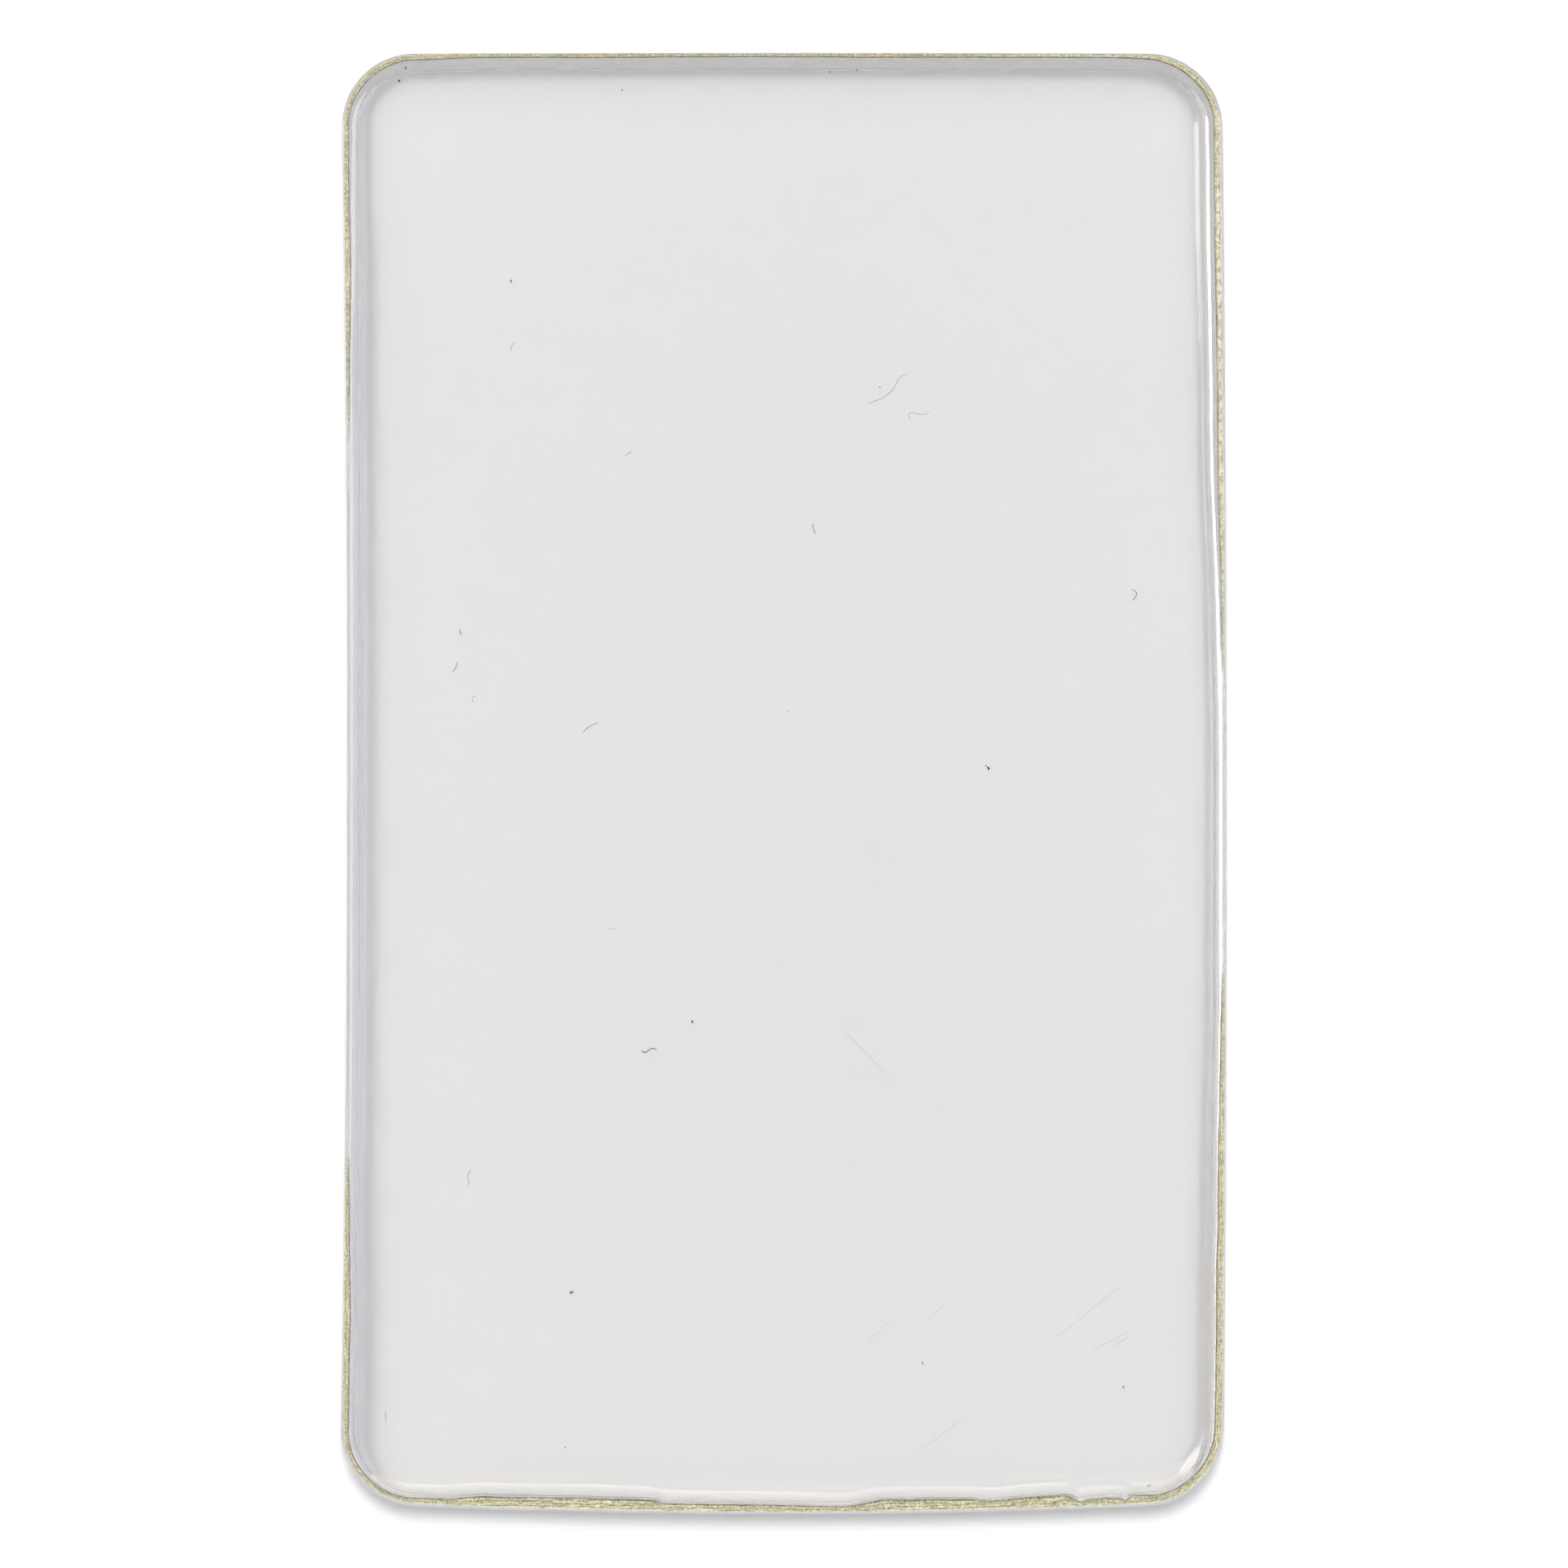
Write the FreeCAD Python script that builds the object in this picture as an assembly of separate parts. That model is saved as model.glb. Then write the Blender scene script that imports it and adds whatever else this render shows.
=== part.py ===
import FreeCAD, Part
import os

V = FreeCAD.Vector

# Clear gel plate lying on its carrier film. Millimetres, +Z up, +Y along the plate.
# The origin is on the surface that the film lies on, under the middle of the plate.

# Outline of the plate at its rim. Each bow is the rise of a side's arc between sharp corners.
plate_length = 127.0
plate_width = 77.0
corner_radius = 6.4
near_end_bulge = 1.0
far_end_bulge = 0.1
right_side_bulge = 0.35
left_side_waist = 0.6

# Section of the plate. The mould shaped its foot and wall. The poured face is level in the
# middle and climbs the wall in a meniscus, which leaves a thin lip all round.
face_height = 8.3
lip_rise = 1.2
lip_land = 0.5
meniscus_reach = 3.4
wall_inset = 0.1
foot_radius = 0.3

# Carrier film under the plate. Its edge stays hidden inside the rim, as seen from above.
film_thickness = 0.125
film_inset = 0.4

# Levels that the pieces share
foot_level = film_thickness
face_level = foot_level + face_height
rim_level = face_level + lip_rise

up = V(0, 0, 1)
flat_tolerance = 1e-4


class BowedSide:
    """One side of the outline: a shallow arc, whose radius is negative where it bows inwards."""

    def __init__(self, start, end, bow):
        along = end - start
        outward = along.cross(up).normalize()
        self.radius = ((along.Length / 2) ** 2 + bow ** 2) / (2 * bow)
        self.centre = (start + end) / 2 + outward * (bow - self.radius)

    def towards(self, point, offset):
        """Where the side, moved outwards by an offset, meets the line from its centre to a point."""
        return self.centre + (point - self.centre).normalize() * abs(self.radius + offset)

    def corner_centres(self):
        """Circle of the places from which a corner's round runs smoothly into this side."""
        return Part.Circle(self.centre, up, abs(self.radius - corner_radius))


class RimOutline:
    """Plan of the rim, boxed about the origin: four bowed sides, and rounds where they meet."""

    def __init__(self):
        left = -plate_width / 2
        right = plate_width / 2 - right_side_bulge
        near = -plate_length / 2 + near_end_bulge
        far = plate_length / 2 - far_end_bulge
        sharp = [V(left, near, 0), V(right, near, 0), V(right, far, 0), V(left, far, 0)]
        bows = [near_end_bulge, right_side_bulge, far_end_bulge, -left_side_waist]
        self.sides = [BowedSide(sharp[i - 1], sharp[i], bows[i - 1]) for i in range(len(sharp))]
        self.corners = [self.round_centre(i, point) for i, point in enumerate(sharp)]
        self.to_origin = V()
        self.to_origin = -self.wire(0, 0).BoundBox.Center

    def round_centre(self, i, sharp):
        """Centre of the round at a sharp corner, which the side of the same number runs into."""
        after = self.sides[(i + 1) % len(self.sides)]
        meets = self.sides[i].corner_centres().intersect(after.corner_centres())
        return min((V(point.X, point.Y, 0) for point in meets), key=sharp.distanceToPoint)

    def wire(self, offset, height):
        """The outline grown by an offset, or drawn in by a negative one, at a height."""
        arcs = []
        for i, side in enumerate(self.sides):
            after = self.sides[(i + 1) % len(self.sides)]
            last, here = self.corners[i - 1], self.corners[i]
            start, end = side.towards(last, offset), side.towards(here, offset)
            turned = after.towards(here, offset)
            bisector = (end - here + turned - here).normalize()
            arcs.append(Part.Arc(start, side.towards((last + here) / 2, offset), end))
            arcs.append(Part.Arc(end, here + bisector * (corner_radius + offset), turned))
        return Part.Wire([arc.toShape() for arc in arcs]).translated(self.to_origin + up * height)


def flat_edges(shape, height):
    """Edges of the shape that lie flat at a height."""
    return [edge for edge in shape.Edges
            if abs(edge.BoundBox.ZMin - height) < flat_tolerance
            and abs(edge.BoundBox.ZMax - height) < flat_tolerance]


def carrier_film(outline):
    """Thin clear sheet cut to the plate's shape."""
    return Part.Face(outline.wire(-film_inset, 0)).extrude(up * film_thickness)


def moulded_block(outline):
    """The plate as a full mould gives it: wall drawn in towards the foot, foot edge rounded."""
    foot = outline.wire(-wall_inset, foot_level)
    rim = outline.wire(0, rim_level)
    block = Part.makeLoft([foot, rim], True, True)
    return block.makeFillet(foot_radius, flat_edges(block, foot_level))


def air_over_face(outline):
    """The space over the poured face, level underneath, whose round lower edge is the meniscus."""
    meniscus_radius = (meniscus_reach ** 2 + lip_rise ** 2) / (2 * lip_rise)
    level_inset = lip_land + meniscus_reach
    floor = Part.Face(outline.wire(meniscus_radius - level_inset, face_level))
    air = floor.extrude(up * (meniscus_radius + lip_rise))
    return air.makeFillet(meniscus_radius, flat_edges(air, face_level))


def gel_slab(outline):
    """One cast piece of soft clear gel."""
    return moulded_block(outline).cut(air_over_face(outline))


os.makedirs("parts", exist_ok=True)
rim_outline = RimOutline()
pieces = {
    "carrier_film": carrier_film(rim_outline),
    "gel_slab": gel_slab(rim_outline),
}
for node, shape in pieces.items():
    solid = shape.Solids[0]
    print(node, len(shape.Solids), solid.isValid(), round(solid.Volume, 3), solid.BoundBox)
    solid.exportStep(os.path.join("parts", node + ".step"))
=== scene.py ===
"""Dresses the clear gel plate and its carrier film. Metres, +Z up, +Y along the plate."""
import logging
import math
from dataclasses import dataclass, field
from enum import Enum
from typing import NamedTuple

import bpy
import numpy as np
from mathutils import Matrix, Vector


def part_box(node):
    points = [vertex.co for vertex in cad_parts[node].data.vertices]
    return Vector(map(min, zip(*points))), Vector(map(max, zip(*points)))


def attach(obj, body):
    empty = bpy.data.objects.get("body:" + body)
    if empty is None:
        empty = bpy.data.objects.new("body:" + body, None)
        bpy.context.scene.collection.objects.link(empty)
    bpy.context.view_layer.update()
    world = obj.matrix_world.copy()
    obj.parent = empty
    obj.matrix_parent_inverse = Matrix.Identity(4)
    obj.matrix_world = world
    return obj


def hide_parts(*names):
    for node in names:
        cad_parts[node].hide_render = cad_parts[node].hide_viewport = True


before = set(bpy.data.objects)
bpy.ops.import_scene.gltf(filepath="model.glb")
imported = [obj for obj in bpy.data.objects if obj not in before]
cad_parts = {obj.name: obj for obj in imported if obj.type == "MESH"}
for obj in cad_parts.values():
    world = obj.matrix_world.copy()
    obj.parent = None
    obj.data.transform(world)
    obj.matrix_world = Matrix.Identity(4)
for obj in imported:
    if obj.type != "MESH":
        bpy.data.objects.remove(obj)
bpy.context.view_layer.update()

MM = 0.001
FULL_TURN = 2 * math.pi
QUARTER_TURN = math.pi / 2

# Numbers of a colour mix's sockets, whose names its other kinds of socket share
MIX_FACTOR, MIX_FROM, MIX_TO, MIX_RESULT = 0, 6, 7, 2

log = logging.getLogger("gel_plate")


class Side(Enum):
    """Sides of the plate, each by its outward direction in plan."""

    NEAR = (0, -1)
    RIGHT = (1, 0)
    FAR = (0, 1)
    LEFT = (-1, 0)


# Places along each side, in millimetres from its middle, with a value at each place
Stations = dict[Side, tuple[tuple[float, float], ...]]

# One value for the whole rim, or one for each of its points
RimValue = np.ndarray | float


class Look(NamedTuple):
    """How the gel looks round one ring of the slab, with each trait from 0 to 1.

    The first trait goes from clear to cloudy and tinted: on the lip the tint is painted light, on the
    foot it is painted shade. Thread goes from a cream bead to a dark thread in the lip, and on the foot
    it sets the painted shade's tone. Satin goes from poured gloss to moulded satin.
    """

    torn_and_painted: RimValue = 0.0
    thread: RimValue = 0.5
    satin: RimValue = 0.0


def linear(hex_colour: str) -> tuple[float, float, float, float]:
    """Turns an sRGB colour into the linear one that shaders take.

    Args:
        hex_colour: the colour as "#RRGGBB".

    Returns:
        Red, green, blue and an alpha of 1.
    """
    levels = [int(hex_colour[i:i + 2], 16) / 255 for i in (1, 3, 5)]
    red, green, blue = (
        level / 12.92 if level <= 0.04045 else ((level + 0.055) / 1.055) ** 2.4
        for level in levels
    )
    return red, green, blue, 1.0


def add_node(
    tree: bpy.types.NodeTree,
    kind: str,
    settings: dict[str, object] | None = None,
    inputs: dict[str | int, object] | None = None,
) -> bpy.types.Node:
    """Adds a node with its settings and links.

    Args:
        tree: the node tree that gets the node.
        kind: the node's type name.
        settings: attributes of the node.
        inputs: for an input, by name or number, its value or the output that is linked to it.

    Returns:
        The new node.
    """
    node = tree.nodes.new(kind)
    for name, value in (settings or {}).items():
        setattr(node, name, value)
    for name, value in (inputs or {}).items():
        if isinstance(value, bpy.types.NodeSocket):
            tree.links.new(value, node.inputs[name])
        else:
            node.inputs[name].default_value = value
    return node


def new_material(name: str) -> tuple[bpy.types.Material, bpy.types.Node, bpy.types.Node]:
    """Starts a node material.

    Args:
        name: what the real material is called.

    Returns:
        The material, its surface shader and its output node.
    """
    material = bpy.data.materials.new(name)
    material.use_nodes = True
    nodes = material.node_tree.nodes
    return material, nodes["Principled BSDF"], nodes["Material Output"]


def add_piece(name: str, mesh: bpy.types.Mesh, material: bpy.types.Material) -> bpy.types.Object:
    """Puts a mesh into the scene, dressed in one material.

    Args:
        name: the piece's name.
        mesh: its mesh.
        material: its material.

    Returns:
        The piece.
    """
    mesh.materials.append(material)
    piece = bpy.data.objects.new(name, mesh)
    bpy.context.scene.collection.objects.link(piece)
    return piece


def seen_by_eye(tree: bpy.types.NodeTree) -> bpy.types.NodeSocket:
    """Adds nodes that tell what the camera sees, straight or by clear and glossy surfaces.

    Args:
        tree: the node tree of the floor or the world.

    Returns:
        An output that is 1 for what is seen, and 0 for light on its way to a matt surface.
    """
    half_a_bounce = 0.5
    path = add_node(tree, "ShaderNodeLightPath")
    glossy = add_node(
        tree,
        "ShaderNodeMath",
        {"operation": "MAXIMUM"},
        {0: path.outputs["Is Glossy Ray"], 1: path.outputs["Is Transmission Ray"]},
    )
    before_matt = add_node(
        tree,
        "ShaderNodeMath",
        {"operation": "LESS_THAN"},
        {0: path.outputs["Diffuse Depth"], 1: half_a_bounce},
    )
    by_surface = add_node(
        tree,
        "ShaderNodeMath",
        {"operation": "MULTIPLY"},
        {0: glossy.outputs[0], 1: before_matt.outputs[0]},
    )
    seen = add_node(
        tree,
        "ShaderNodeMath",
        {"operation": "MAXIMUM"},
        {0: path.outputs["Is Camera Ray"], 1: by_surface.outputs[0]},
    )
    return seen.outputs[0]


@dataclass(frozen=True)
class OilGel:
    """Styrene rubber gel swollen with clear oil, poured warm into a mould.

    It is water clear through its thickness. Its lip tore from the mould, and there it is cloudy,
    with cream beads. Its straw-to-olive tint and the cream of the beads are painted light: they stand
    in for light carried along the gel and glowing at its edge. The wall and the underside took the
    mould's satin.
    """

    name: str = "cast_oil_gel"
    clear: str = "#FDFDFD"
    # Painted light: cream and straw to olive stand in for light carried along the gel and glowing at its
    # edge; the darkest colour serves dark threads and the painted shade on the foot.
    glow_and_shade_colours: tuple[tuple[float, str], ...] = (
        (0.0, "#F5F0D0"),
        (0.3, "#C5BF8E"),
        (0.6, "#908A60"),
        (1.0, "#403E33"),
    )
    torn_and_painted_clearness: float = 0.45
    refraction: float = 1.47
    face_roughness: float = 0.015
    satin_roughness: float = 0.7
    # The grain of torn gel is finer than this, and is drawn this coarse so that it shows
    grain_size: float = 0.18 * MM
    grain_detail: float = 2.0
    grain_roughness: float = 0.6
    grain_contrast: float = 1.6
    absorbed: str = "#E4E4E0"
    absorption_per_metre: float = 22.0

    def material(self) -> bpy.types.Material:
        """Makes the gel's material, which takes its look from the traits on the mesh's points.

        Returns:
            The material.
        """
        material, shader, output = new_material(self.name)
        tree = material.node_tree
        torn_and_painted, thread, satin = (
            add_node(tree, "ShaderNodeAttribute", {"attribute_name": trait}).outputs["Fac"]
            for trait in Look._fields
        )
        # The lip's tint is painted light and the foot's dark tint is painted shade, both mixed into the
        # clear gel's colour.
        colour = add_node(
            tree,
            "ShaderNodeMix",
            {"data_type": "RGBA"},
            {MIX_FACTOR: torn_and_painted, MIX_FROM: linear(self.clear), MIX_TO: self.glow_and_shade_colour(tree, thread)},
        )
        tree.links.new(colour.outputs[MIX_RESULT], shader.inputs["Base Color"])
        clearness = add_node(
            tree,
            "ShaderNodeMapRange",
            inputs={"Value": torn_and_painted, "To Min": 1.0, "To Max": self.torn_and_painted_clearness},
        )
        tree.links.new(clearness.outputs["Result"], shader.inputs["Transmission Weight"])
        roughness = add_node(
            tree,
            "ShaderNodeMapRange",
            inputs={"Value": satin, "To Min": self.face_roughness, "To Max": self.satin_roughness},
        )
        tree.links.new(roughness.outputs["Result"], shader.inputs["Roughness"])
        shader.inputs["IOR"].default_value = self.refraction
        volume = add_node(
            tree,
            "ShaderNodeVolumeAbsorption",
            inputs={"Color": linear(self.absorbed), "Density": self.absorption_per_metre},
        )
        tree.links.new(volume.outputs["Volume"], output.inputs["Volume"])
        return material

    def glow_and_shade_colour(self, tree: bpy.types.NodeTree, thread: bpy.types.NodeSocket) -> bpy.types.NodeSocket:
        """Adds the lip's colours: cream beads, straw and olive painted as light, and dark threads.

        Args:
            tree: the material's node tree.
            thread: where on the way from bead to thread a place is; on the foot, how dark its painted
                shade is.

        Returns:
            The output that gives the colour.
        """
        place = add_node(tree, "ShaderNodeTexCoord").outputs["Object"]
        grain = add_node(
            tree,
            "ShaderNodeTexNoise",
            inputs={
                "Vector": place,
                "Scale": 1 / self.grain_size,
                "Detail": self.grain_detail,
                "Roughness": self.grain_roughness,
            },
        )
        half = self.grain_contrast / 2
        spread = add_node(
            tree,
            "ShaderNodeMapRange",
            inputs={"Value": grain.outputs["Fac"], "To Min": -half, "To Max": half},
        )
        grained = add_node(
            tree,
            "ShaderNodeMath",
            {"operation": "ADD"},
            {0: thread, 1: spread.outputs["Result"]},
        )
        ramp = add_node(tree, "ShaderNodeValToRGB", inputs={"Fac": grained.outputs[0]})
        stops = ramp.color_ramp.elements
        for tone, _ in self.glow_and_shade_colours[1:-1]:
            stops.new(tone)
        for stop, (_, colour) in zip(stops, self.glow_and_shade_colours):
            stop.color = linear(colour)
        return ramp.outputs["Color"]


@dataclass(frozen=True)
class PolyesterFilm:
    """Clear polyester sheet, rolled smooth, so it is glossy and faintly blue across its face."""

    name: str = "clear_polyester_film"
    colour: str = "#E0E3EB"
    refraction: float = 1.57
    roughness: float = 0.05
    presence: float = 0.2

    def material(self) -> bpy.types.Material:
        """Makes the film's material, so thin that most light goes straight on through it.

        Returns:
            The material.
        """
        material, shader, _ = new_material(self.name)
        shader.inputs["Base Color"].default_value = linear(self.colour)
        shader.inputs["Transmission Weight"].default_value = 1.0
        shader.inputs["IOR"].default_value = self.refraction
        shader.inputs["Roughness"].default_value = self.roughness
        shader.inputs["Alpha"].default_value = self.presence
        return material


@dataclass(frozen=True)
class CutPolyester(PolyesterFilm):
    """Cut edge of the sheet, which shows as a fine milky line."""

    name: str = "cut_polyester_edge"
    colour: str = "#DCE6EA"
    roughness: float = 0.4
    presence: float = 0.85


@dataclass(frozen=True)
class TextileLint:
    """Dust and textile fibres, dull and in several shades."""

    name: str = "textile_lint"
    roughness: float = 0.9
    specular: float = 0.2
    shade_layer: str = "shade"

    def material(self) -> bpy.types.Material:
        """Makes the lint's material, coloured fibre by fibre.

        Returns:
            The material.
        """
        material, shader, _ = new_material(self.name)
        tree = material.node_tree
        shade = add_node(tree, "ShaderNodeAttribute", {"attribute_name": self.shade_layer})
        tree.links.new(shade.outputs["Color"], shader.inputs["Base Color"])
        shader.inputs["Roughness"].default_value = self.roughness
        shader.inputs["Specular IOR Level"].default_value = self.specular
        return material


@dataclass(frozen=True)
class PaperSweep:
    """Matt white background paper under the plate, which keeps the plate's shadow."""

    name: str = "white_background_paper"
    colour: str = "#F3F3F4"
    glow: str = "#F6F6FE"
    seen_glow: float = 0.195

    def material(self) -> bpy.types.Material:
        """Makes the paper's material, which looks white to the eye, also through the gel.

        Returns:
            The material.
        """
        material, shader, _ = new_material(self.name)
        shader.inputs["Base Color"].default_value = linear(self.colour)
        shader.inputs["Roughness"].default_value = 1.0
        shader.inputs["Specular IOR Level"].default_value = 0.0
        shader.inputs["Emission Color"].default_value = linear(self.glow)
        tree = material.node_tree
        glow = add_node(
            tree,
            "ShaderNodeMath",
            {"operation": "MULTIPLY"},
            {0: seen_by_eye(tree), 1: self.seen_glow},
        )
        tree.links.new(glow.outputs[0], shader.inputs["Emission Strength"])
        return material


@dataclass(frozen=True)
class Waver:
    """Smooth irregularity round the closed rim, the same on each run.

    It is made of waves from the longest to the shortest length, in metres, which fall off in
    height towards the shortest.
    """

    seed: int
    longest: float
    shortest: float
    falloff: float = 0.5

    def along(self, travel: np.ndarray, perimeter: float, number: int) -> np.ndarray:
        """Gives the irregularity round the rim.

        Args:
            travel: distance round the rim of each point.
            perimeter: length of the rim.
            number: which of several irregularities of this kind, each with its own draw.

        Returns:
            A value for each point, with a mean of 0 and a spread of 1.
        """
        draws = np.random.default_rng(self.seed + number)
        first = max(1, round(perimeter / self.longest))
        last = max(first + 1, round(perimeter / self.shortest))
        turns = np.arange(first, last + 1)
        phases = draws.uniform(0, FULL_TURN, len(turns))
        weights = turns ** -self.falloff
        waves = np.cos(FULL_TURN * np.outer(travel / perimeter, turns) + phases)
        return waves @ weights / math.sqrt((weights ** 2).sum() / 2)


@dataclass
class RimOutline:
    """Plan of the plate at its rim: a rounded rectangle whose sides bow a little."""

    half_width: float
    half_length: float
    corner_radius: float = 6.4 * MM
    near_bulge: float = 1.0 * MM
    far_bulge: float = 0.1 * MM
    right_bulge: float = 0.35 * MM
    left_waist: float = 0.6 * MM
    steps: int = 1200
    corner_steps: int = 65
    points: np.ndarray = field(init=False)
    outward: np.ndarray = field(init=False)
    travel: np.ndarray = field(init=False)
    perimeter: float = field(init=False)

    def __post_init__(self) -> None:
        """Walks round the outline in even steps, anticlockwise from the right side's far end."""
        trace = self.rounded_rectangle()
        trace = np.vstack([trace, trace[:1]])
        run = np.concatenate([[0], np.cumsum(np.hypot(*np.diff(trace, axis=0).T))])
        even = np.linspace(0, run[-1], self.steps, endpoint=False)
        self.points = self.bowed(np.stack([np.interp(even, run, axis) for axis in trace.T], axis=1))
        ahead = np.roll(self.points, -1, axis=0) - np.roll(self.points, 1, axis=0)
        ahead /= np.hypot(*ahead.T)[:, None]
        self.outward = np.stack([ahead[:, 1], -ahead[:, 0]], axis=1)
        self.travel = even
        self.perimeter = run[-1]

    def rounded_rectangle(self) -> np.ndarray:
        """Traces the four corner rounds, before the sides are bowed.

        Returns:
            Their points in plan, in the order of the walk.
        """
        rounds = []
        for quarter, (right, far) in enumerate(((1, 1), (-1, 1), (-1, -1), (1, -1))):
            turn = np.radians(90 * quarter + np.linspace(0, 90, self.corner_steps))
            middle = np.array([
                right * (self.half_width - self.corner_radius),
                far * (self.half_length - self.corner_radius),
            ])
            rounds.append(middle + self.corner_radius * np.stack([np.cos(turn), np.sin(turn)], axis=1))
        return np.vstack(rounds)

    def bowed(self, points: np.ndarray) -> np.ndarray:
        """Moves points as the sides bow, less and less towards the opposite side.

        Args:
            points: the points in plan.

        Returns:
            The moved points.
        """
        across = points[:, 0] / self.half_width
        along = points[:, 1] / self.half_length
        held = 1 - self.corner_radius / self.half_length
        left = self.left_waist * (held ** 2 - along ** 2)
        right = -self.right_bulge * along ** 2
        near = self.near_bulge * across ** 2
        far = -self.far_bulge * across ** 2
        moved_x = left + (right - left) * (across + 1) / 2
        moved_y = near + (far - near) * (along + 1) / 2
        return points + np.stack([moved_x, moved_y], axis=1)

    def along_sides(self, stations: Stations) -> np.ndarray:
        """Runs a value along each side and blends it round the corners.

        Args:
            stations: for each side, places along it and the value there.

        Returns:
            The value at each point of the outline.
        """
        blended = np.zeros(self.steps)
        for side, marks in stations.items():
            outward = np.array(side.value, float)
            facing = np.clip(self.outward @ outward, 0, None) ** 2
            place = self.points @ np.abs(outward[::-1]) / MM
            blended += facing * np.interp(place, *zip(*marks))
        return blended

    def waver(self, kind: Waver, number: int = 0) -> np.ndarray:
        """Gives an irregularity at each point, by its kind and its number among that kind."""
        return kind.along(self.travel, self.perimeter, number)

    def inset(self, depth: RimValue) -> np.ndarray:
        """Gives the outline drawn in by a depth, which may differ from point to point."""
        return self.points - self.outward * np.broadcast_to(depth, self.steps)[:, None]


@dataclass
class Section:
    """The slab's section, kept as closed rings from under the middle to over it."""

    outline: RimOutline
    rings: list[np.ndarray] = field(default_factory=list)
    looks: list[np.ndarray] = field(default_factory=list)

    def add(self, depth: RimValue, height: RimValue, look: Look = Look(), shrink: float = 1.0) -> None:
        """Adds a ring.

        Args:
            depth: how far the ring lies inside the outline.
            height: its height.
            look: how the gel looks there.
            shrink: scale in plan, for rings across the middle.
        """
        count = self.outline.steps
        plan = self.outline.inset(depth) * shrink
        self.rings.append(np.column_stack([plan, np.broadcast_to(height, count)]))
        self.looks.append(np.column_stack([np.broadcast_to(trait, count) for trait in look]))

    def mesh(self, name: str) -> bpy.types.Mesh:
        """Joins the rings into one closed smooth mesh that carries their looks.

        Args:
            name: the mesh's name.

        Returns:
            The mesh.
        """
        count = self.outline.steps
        ends = [self.rings[0].mean(axis=0), self.rings[-1].mean(axis=0)]
        corners = np.vstack([*self.rings, ends])
        here = np.arange(count)
        after = (here + 1) % count
        faces = []
        for low in range(len(self.rings) - 1):
            start, end = low * count, (low + 1) * count
            faces += np.column_stack([start + here, start + after, end + after, end + here]).tolist()
        under = len(self.rings) * count
        top = under - count
        faces += np.column_stack([after, here, np.full(count, under)]).tolist()
        faces += np.column_stack([top + here, top + after, np.full(count, under + 1)]).tolist()
        mesh = bpy.data.meshes.new(name)
        mesh.from_pydata(corners.tolist(), [], faces)
        mesh.polygons.foreach_set("use_smooth", [True] * len(mesh.polygons))
        looks = np.vstack([*self.looks, self.looks[0][:1], self.looks[-1][:1]])
        for trait, values in zip(Look._fields, looks.T):
            layer = mesh.attributes.new(trait, "FLOAT", "POINT")
            layer.data.foreach_set("value", np.ascontiguousarray(values))
        mesh.update()
        return mesh


@dataclass(frozen=True)
class MouldedSide:
    """What the mould shaped: satin underside, small round foot, drawn wall and round shoulder."""

    lift_off_film: float = 0.02 * MM
    wall_inset: float = 0.1 * MM
    foot_radius: float = 0.1 * MM
    foot_steps: int = 5
    shoulder_steps: int = 6
    underside_shares: tuple[float, ...] = (1 / 3, 2 / 3)
    underside: Look = Look(satin=0.45)
    foot_satin: float = 1.0
    # Tone of the painted shade on the foot: the darkest lip colour.
    painted_shade_tone: float = 1.0
    wall_satin: tuple[tuple[float, float], ...] = ((0.1, 0.7), (0.25, 0.4), (0.5, 0.2))
    wall_top: Look = Look(satin=0.05)
    # Painted shade: a dark tint on the foot along the far side, where the far edge is in shade.
    foot_painted_shade: Stations = field(default_factory=lambda: {Side.FAR: ((-36, 0.2), (36, 0.2))})
    shoulder_radii: Stations = field(default_factory=lambda: {
        Side.NEAR: ((-34, 0.3), (-28, 0.2), (28, 0.2), (34, 0.3)),
        Side.RIGHT: ((-60, 0.22), (-50, 0.13), (5, 0.12), (27, 0.2), (45, 0.22), (60, 0.24)),
        Side.FAR: ((-36, 0.24), (-28, 0.08), (28, 0.08), (36, 0.24)),
        Side.LEFT: ((-60, 0.28), (-50, 0.08), (50, 0.08), (60, 0.24)),
    })

    def add_foot(self, section: Section, foot_level: float) -> None:
        """Adds the flat underside and the round at its edge.

        Args:
            section: the section that gets them.
            foot_level: height of the film's face, under the slab.
        """
        base = foot_level + self.lift_off_film
        flat = self.wall_inset + self.foot_radius
        painted_shade = section.outline.along_sides(self.foot_painted_shade)
        for share in self.underside_shares:
            section.add(flat, base, self.underside, share)
        section.add(flat + self.foot_radius, base, self.underside)
        for turn in np.linspace(0, QUARTER_TURN, self.foot_steps):
            depth = flat - self.foot_radius * math.sin(turn)
            height = base + self.foot_radius * (1 - math.cos(turn))
            # The round at the foot carries the painted shade.
            section.add(depth, height, Look(painted_shade, self.painted_shade_tone, self.foot_satin))

    def add_wall(
        self,
        section: Section,
        foot_level: float,
        rim_level: float,
        crest: np.ndarray,
    ) -> np.ndarray:
        """Adds the wall, drawn in towards the foot, and the round shoulder over it.

        Args:
            section: the section that gets them.
            foot_level: height of the film's face, under the slab.
            rim_level: height of the rim.
            crest: height of the lip at each point of the outline.

        Returns:
            How far inside the outline the shoulder ends, at each point.
        """
        for share, satin in self.wall_satin:
            height = foot_level + (rim_level - foot_level) * share
            section.add(self.wall_inset * (1 - share), height, Look(satin=satin))
        radius = section.outline.along_sides(self.shoulder_radii) * MM
        section.add(0, crest - radius, self.wall_top)
        for turn in np.linspace(0, QUARTER_TURN, self.shoulder_steps)[1:]:
            section.add(radius * (1 - math.cos(turn)), crest - radius * (1 - math.sin(turn)))
        return radius


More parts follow.
